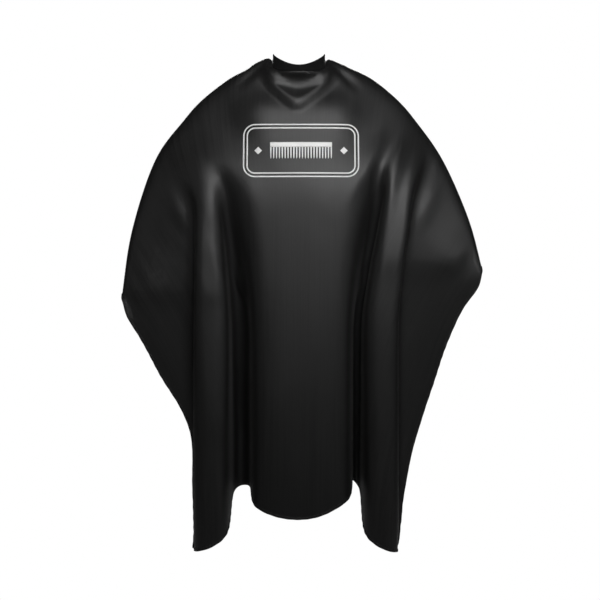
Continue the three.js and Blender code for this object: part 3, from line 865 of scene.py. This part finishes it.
def bound_edge(name, node, rows, columns, inner_rows, inner_columns):
    """Folded tape round one edge of the cloth, slightly puckered, with its row of stitches."""
    edge, inner = drape[rows, columns], drape[inner_rows, inner_columns]
    at = lengths(edge)
    share = np.linspace(0, 1, int(at[-1] / (5 * MM)))
    s = share * at[-1]
    line, within = along(edge, share), read_off(s, at, inner)
    normal = unit(read_off(s, at, normals[rows, columns]))
    way = unit(np.gradient(line, axis=0))
    inward = within - line
    inward = unit(inward - (inward * way).sum(1)[:, None] * way)
    normal = unit(np.cross(way, inward)) * np.sign((np.cross(way, inward) * normal).sum(1))[:, None]
    pucker = np.sin(s / .0052 + 1.7 * np.sin(s / .041)) * (0.6 + 0.4 * np.sin(s / .097))
    middle = line + inward * (TAPE_OVERLAP + 0.35 * MM * np.sin(s / .023))[:, None]
    middle = middle + normal * (0.45 * MM * pucker)[:, None]
    turns = np.linspace(0, 2 * np.pi, TAPE_TURNS, endpoint=False)
    rings = []
    for k in range(len(share)):
        half = TAPE_HALF_WIDTH * (1 + 0.05 * pucker[k])
        thick = TAPE_HALF_THICK * (1 + 0.12 * pucker[k])
        cos, sin = np.cos(turns), np.sin(turns)
        across = np.sign(cos) * np.abs(cos) ** 0.7 * half
        out = np.sign(sin) * np.abs(sin) ** 0.6 * thick
        rings.append(middle[k] + across[:, None] * inward[k] + out[:, None] * normal[k])
    parts = [tube(rings)]
    for k in np.arange(2, int(at[-1] / STITCH_PITCH) - 1):
        here = np.interp([k * STITCH_PITCH, k * STITCH_PITCH + STITCH_LENGTH], s, np.arange(len(s)))
        i = int(here[0])
        ends = [read_off(h, np.arange(len(s)), middle + STITCH_IN * inward) for h in here]
        for sign in SIDES:
            lift = normal[i] * sign
            parts.append(stitch(*[e + lift * TAPE_HALF_THICK * 0.95 for e in ends], lift, STITCH_RADIUS))
    piece = make_piece(name, *joined(parts), "binding")
    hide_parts(node)
    return piece


TAPE_FROM_NECK = 4 * MM
last_row, last_column = cut.cloth.shape[0] - 1, cut.cloth.shape[1] - 1
all_rows, all_columns = np.arange(last_row + 1), np.arange(last_column + 1)
bindings = [
    bound_edge("hem_bottom", "binding_bottom", last_row, all_columns, last_row - 1, all_columns),
    bound_edge("hem_side_left", "binding_side_left", all_rows, 0, all_rows, 1),
    bound_edge("hem_side_right", "binding_side_right", all_rows, last_column, all_rows, last_column - 1),
]
for side in SIDES:
    top = all_columns[cut.cloth[0] & (cut.side[0] == side) & (np.abs(cut.u[0]) > NOTCH + TAPE_FROM_NECK)]
    name = f"back_{SIDE_NAME[side]}"
    bindings.append(bound_edge(f"hem_{name}", f"binding_{name}", 0, top, 1, top))

# ---------------------------------------------------------------- neckband

BAND_WALL = 0.6 * MM


def cover_outline():
    """Folded strip, open below: outer ply, rounded fold above, inner ply, and back inside."""
    outer, inner = [], []
    for y, sign in ((-BAND_SKIN, -1), (BAND_SKIN, 1)):
        for u in np.linspace(0, 1, 7):
            bulge = 0.25 * MM * math.sin(math.pi * u)
            height = -BAND_HALF + u * (2 * BAND_HALF - BAND_SKIN)
            outer.append((height, y + sign * bulge))
            inner.append((height, y - sign * (BAND_WALL - bulge)))
    half = len(outer) // 2
    fold = [
        (BAND_HALF - BAND_SKIN + BAND_SKIN * math.cos(a), BAND_SKIN * math.sin(a))
        for a in np.linspace(-math.pi / 2, math.pi / 2, 9)[1:-1]
    ]
    within = [
        (BAND_HALF - BAND_SKIN + (BAND_SKIN - BAND_WALL) * math.cos(a), (BAND_SKIN - BAND_WALL) * math.sin(a))
        for a in np.linspace(math.pi / 2, -math.pi / 2, 9)[1:-1]
    ]
    return outer[:half] + fold + outer[half:][::-1] + inner[half:] + within + inner[:half][::-1]


def swept(frames, outline):
    return tube([[at + up * u + out * v for u, v in outline] for at, up, out in frames])


THREAD_PITCH, THREAD_LENGTH, THREAD_RADIUS = 3.2 * MM, 2.2 * MM, 0.25 * MM


def band_stitches(frames, height):
    """Two plies' rows of thread along the band, that far above its middle."""
    line = np.array([at + up * height for at, up, _ in frames])
    out = np.array([o for _, _, o in frames])
    at = lengths(line)
    parts = []
    for start in np.arange(THREAD_PITCH, at[-1] - THREAD_PITCH, THREAD_PITCH):
        ends = [read_off(start + d, at, line) for d in (0, THREAD_LENGTH)]
        lift = unit(read_off(start, at, out))
        for sign in SIDES:
            ends_on_skin = [e + sign * lift * (BAND_SKIN + .1 * MM) for e in ends]
            parts.append(stitch(*ends_on_skin, sign * lift, THREAD_RADIUS))
    return parts


def tab_frame(side, back):
    return (
        np.array([side * NECK_HALF_WIDTH, back, EAR_UP]), np.array([0, 0, 1.0]), np.array([side * 1.0, 0, 0]),
    )


LINING_HALF = BAND_SKIN - BAND_WALL - 0.3 * MM
LINING_OUTLINE = [
    (-BAND_HALF + 1 * MM, -LINING_HALF), (-BAND_HALF + 1 * MM, LINING_HALF),
    (BAND_HALF - BAND_SKIN, LINING_HALF), (BAND_HALF - BAND_SKIN, -LINING_HALF),
]
SEAM_ROW, FOLD_ROW = -BAND_HALF + 3 * MM, BAND_HALF - 3 * MM


def band_pieces(name, frames, node, body=None):
    cover_parts = [swept(frames, cover_outline())]
    cover_parts += band_stitches(frames, SEAM_ROW) + band_stitches(frames, FOLD_ROW)
    cover = make_piece(f"{name}_skin", *joined(cover_parts), "neckband", body)
    lining = make_piece(f"{name}_lining", *swept(frames, LINING_OUTLINE), "interlining", body)
    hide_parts(f"{node}_cover")
    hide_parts(f"{node}_interlining")
    return cover, lining


front_frames = [band_frame(a) for a in np.linspace(-math.pi / 2, math.pi / 2, 97)]
band_pieces("neckband_front", front_frames, "neckband_front", "root")

for side in SIDES:
    name = SIDE_NAME[side]
    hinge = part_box(f"neckband_{name}_tip_cover")[0][1] - 0.15 * MM
    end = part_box(f"neckband_{name}_tip_cover")[1][1]
    for part, start, stop, bodies in (
        ("near", 0.0, hinge, ("root", f"{name}_near")),
        ("tip", hinge, end, (f"{name}_near", f"{name}_tip")),
    ):
        frames = [tab_frame(side, y) for y in np.linspace(start, stop, 29)]
        for piece in band_pieces(f"neckband_{name}_{part}", frames, f"neckband_{name}_{part}"):
            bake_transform(piece)

# ---------------------------------------------------------------- snap fasteners

LATHE_STEPS = 48
SNAP_PROFILES = {
    "cap": [(0, 0), (4.6, 0), (5, .25), (4.95, .55), (4.5, .95), (3.7, 1.25), (3.3, 1.1), (2.9, 1.12),
            (2.2, 1.3), (1.1, 1.39), (0, 1.4)],
    "socket": [(0, 0), (4.7, 0), (5, .2), (5, 1.2), (4.8, 1.65), (4.3, 1.8), (3.6, 1.72), (3.1, 1.8),
               (2.6, 1.75), (2.4, 1.5), (2.5, 1.0), (2.6, .5), (2.3, .4), (0, .4)],
    "stud": [(0, 0), (4.7, 0), (5, .2), (4.95, .6), (4.5, .8), (3.0, .72), (2.2, .8), (1.75, 1.0),
             (1.7, 1.4), (1.9, 1.75), (1.75, 2.0), (1.3, 2.1), (0, 2.1)],
}
SNAP_PROFILES["post_cap"] = SNAP_PROFILES["cap"]


def snap_piece(node, kind, body):
    """A pressed metal disc turned about the CAD piece's own axis."""
    low, high = (np.array(c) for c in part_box(node))
    middle = (low + high) / 2
    points = np.array([v.co for v in frame["nodes"][node].data.vertices])
    spread = points - points.mean(0)
    axis = np.linalg.svd(spread, full_matrices=False)[2][2]
    along_axis = points @ axis
    wide = np.linalg.norm(points - middle - np.outer((points - middle) @ axis, axis), axis=1) > 4.9 * MM
    base_is_low = along_axis[wide].mean() < (along_axis.min() + along_axis.max()) / 2
    axis = axis if base_is_low else -axis
    start = points.mean(0) - axis * (points @ axis - (points @ axis).min()).mean()
    aside = unit(np.cross(axis, [0.3, 0.2, 1.0]))
    other = np.cross(axis, aside)
    profile = np.array(SNAP_PROFILES[kind]) * MM
    turns = np.linspace(0, 2 * np.pi, LATHE_STEPS, endpoint=False)
    made, faces = [start + axis * profile[0, 1]], []
    for r, h in profile[1:-1]:
        made += [start + axis * h + r * (aside * np.cos(a) + other * np.sin(a)) for a in turns]
    made.append(start + axis * profile[-1, 1])
    rings = len(profile) - 2
    for p in range(LATHE_STEPS):
        q = (p + 1) % LATHE_STEPS
        faces.append((0, 1 + q, 1 + p))
        for k in range(rings - 1):
            a, b = 1 + k * LATHE_STEPS, 1 + (k + 1) * LATHE_STEPS
            faces.append((a + p, a + q, b + q, b + p))
        top = 1 + (rings - 1) * LATHE_STEPS
        faces.append((top + p, top + q, len(made) - 1))
    piece = make_piece(f"{node}_disc", made, faces, "snap_metal", body)
    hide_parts(node)


bodies = frame["record"]["behaviour"]["bodies"]
for body, members in bodies.items():
    for node in members:
        if node.startswith("snap_"):
            snap_piece(node, node.split("_", 3)[3], body)

# ---------------------------------------------------------------- print on the chest

PRINT_MIDDLE = (6 * MM, -265 * MM)
PRINT_WIDTH, PRINT_HEIGHT, PRINT_CORNER = 331 * MM, 154 * MM, 34 * MM
PRINT_LINE, PRINT_LINE_SPACING, FILM_THICK = 4 * MM, 10 * MM, 0.25 * MM
COMB_LENGTH, COMB_SPINE, COMB_TOOTH, COMB_TEETH = 176 * MM, 14 * MM, 34 * MM, 22
DIAMOND_SIZE, DIAMOND_AT = 22 * MM, 122 * MM

cloth_tree = BVHTree.FromPolygons(
    [v.co.copy() for v in cape.data.vertices], [tuple(p.vertices) for p in cape.data.polygons]
)


def on_chest(x, z):
    """The cloth's outer face in front of (x, z) of the print, and its normal."""
    start = Vector((PRINT_MIDDLE[0] + x, -1, PRINT_MIDDLE[1] + z))
    place, normal, _, _ = cloth_tree.ray_cast(start, Vector((0, 1, 0)))
    return np.array(place), np.array(normal)


def printed(name, grids):
    """A thin film on the cloth for each grid of (x, z) points; a grid is open or looped along its columns."""
    parts = []
    for grid, looped in grids:
        columns, rows = len(grid), len(grid[0])
        hits = [on_chest(x, z) for column in grid for x, z in column]
        front = [p + n * (FILM_THICK + .05 * MM) for p, n in hits]
        back = [p - n * .2 * MM for p, n in hits]
        size, faces = columns * rows, []
        index = lambda i, j: (i % columns) * rows + j
        for i in range(columns if looped else columns - 1):
            for j in range(rows - 1):
                f = (index(i, j), index(i, j + 1), index(i + 1, j + 1), index(i + 1, j))
                faces += [f, tuple(size + c for c in reversed(f))]
        directed = {(a, b) for f in faces for a, b in zip(f, f[1:] + f[:1])}
        faces += [(b, a, size + a, size + b) for a, b in directed if (b, a) not in directed and a < size]
        parts.append((np.vstack([front, back]), faces))
    piece = make_piece(name, *joined(parts), "print")
    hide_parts(name.replace("film", "print"))
    return piece


def rounded_loop(width, height, radius, count):
    """Evenly spaced points round a rounded rectangle."""
    w, h = width / 2 - radius, height / 2 - radius
    loop = []
    for cx, cz, turn in ((w, h, 0), (-w, h, 1), (-w, -h, 2), (w, -h, 3)):
        for a in np.linspace(turn, turn + 1, 17) * math.pi / 2:
            loop.append((cx + radius * math.cos(a), cz + radius * math.sin(a)))
    return along(np.array(loop + loop[:1]), np.linspace(0, 1, count, endpoint=False))


def print_line(name, inset):
    count = round(2 * (PRINT_WIDTH + PRINT_HEIGHT) / (3 * MM))
    rims = [
        rounded_loop(PRINT_WIDTH - 2 * d, PRINT_HEIGHT - 2 * d, PRINT_CORNER - d, count)
        for d in np.linspace(inset, inset + PRINT_LINE, 3)
    ]
    return printed(name, [([[rim[k] for rim in rims] for k in range(count)], True)])


def comb():
    """A spine with tapering teeth."""
    top = (COMB_SPINE + COMB_TOOTH) / 2
    pitch = COMB_LENGTH / (COMB_TEETH - 0.5)
    spine = [
        [(x, top - COMB_SPINE * j / 4) for j in range(5)]
        for x in np.linspace(-COMB_LENGTH / 2, COMB_LENGTH / 2, 88)
    ]
    grids = [(spine, False)]
    for k in range(COMB_TEETH):
        middle = -COMB_LENGTH / 2 + pitch * (k + 0.25)
        tooth = []
        for across in (-1, -.33, .33, 1):
            column = []
            for t in np.linspace(0, 1, 10):
                tip = math.sqrt(max(0.02, 1 - max(0, t - .93) ** 2 / .0052))
                half = pitch * 0.26 * (1 - 0.35 * t) * tip
                column.append((middle + across * half, top - COMB_SPINE * 0.98 - COMB_TOOTH * t))
            tooth.append(column)
        grids.append((tooth, False))
    return printed("film_comb", grids)


def diamond(side):
    half, count = DIAMOND_SIZE / 2, 9
    steps = np.linspace(-1, 1, count)
    grid = [[(side * DIAMOND_AT + (u - v) * half / 2, (u + v) * half / 2) for v in steps] for u in steps]
    return printed(f"film_diamond_{SIDE_NAME[side]}", [(grid, False)])


films = [
    print_line("film_outer_line", 0), print_line("film_inner_line", PRINT_LINE_SPACING), comb(),
    diamond(-1), diamond(1),
]

# ---------------------------------------------------------------- floor, backdrop and light

FLOOR_UP = cad_box[0][2] - 0.09
FLOOR_HALF = 12.0
WORLD_STRENGTH = 0.01


def seen_white(tree, lit):
    """Shows plain white to the camera in place of lit, as an overexposed studio sweep does."""
    white = tree.nodes.new("ShaderNodeEmission")
    path = tree.nodes.new("ShaderNodeLightPath")
    mix = tree.nodes.new("ShaderNodeMixShader")
    tree.links.new(path.outputs["Is Camera Ray"], mix.inputs[0])
    tree.links.new(lit, mix.inputs[1])
    tree.links.new(white.outputs[0], mix.inputs[2])
    output = next(x for x in tree.nodes if x.type.startswith("OUTPUT"))
    tree.links.new(mix.outputs[0], output.inputs["Surface"])


def pale_floor():
    n = Nodes("pale_floor")
    n.set(Base_Color=(0.60, 0.60, 0.60, 1), Roughness=0.9)
    seen_white(n.tree, n.shader.outputs[0])
    mesh = bpy.data.meshes.new("floor")
    corners = [(x * FLOOR_HALF, y * FLOOR_HALF, FLOOR_UP) for x, y in ((-1, -1), (1, -1), (1, 1), (-1, 1))]
    mesh.from_pydata(corners, [], [(0, 1, 2, 3)])
    mesh.materials.append(n.material)
    floor = placed("floor", mesh)


def softbox(name, place, target, size, power, spread=180):
    light = bpy.data.lights.new(name, "AREA")
    light.shape = "RECTANGLE"
    light.size, light.size_y = size
    light.energy, light.spread = power, math.radians(spread)
    lamp = placed(name, light)
    lamp.location = place
    lamp.rotation_euler = (Vector(target) - Vector(place)).to_track_quat("-Z", "Y").to_euler()


pale_floor()
softbox("overhead", (0.1, -1.8, 1.2), (0, 0, -0.2), (1.6, 1.0), 7, 110)
softbox("front", (0.5, -2.6, 0.5), (0.03, 0, -0.34), (1.6, 0.9), 3.2, 44)
softbox("back", (0, 2.8, 0.6), (0, 0, -0.5), (1.6, 1.2), 14, 100)
softbox("left_fill", (-2.6, -1.2, 0.1), (-0.2, 0, -0.6), (0.6, 1.6), 2)
softbox("right_fill", (2.5, -1.5, 0.1), (0.2, 0, -0.6), (0.6, 1.6), 6)
world = bpy.data.worlds.new("studio")
world.use_nodes = True
dim = world.node_tree.nodes["Background"]
dim.inputs["Color"].default_value = (1, 1, 1, 1)
dim.inputs["Strength"].default_value = WORLD_STRENGTH
seen_white(world.node_tree, dim.outputs[0])
bpy.context.scene.world = world
bpy.context.scene.view_settings.view_transform = "Standard"
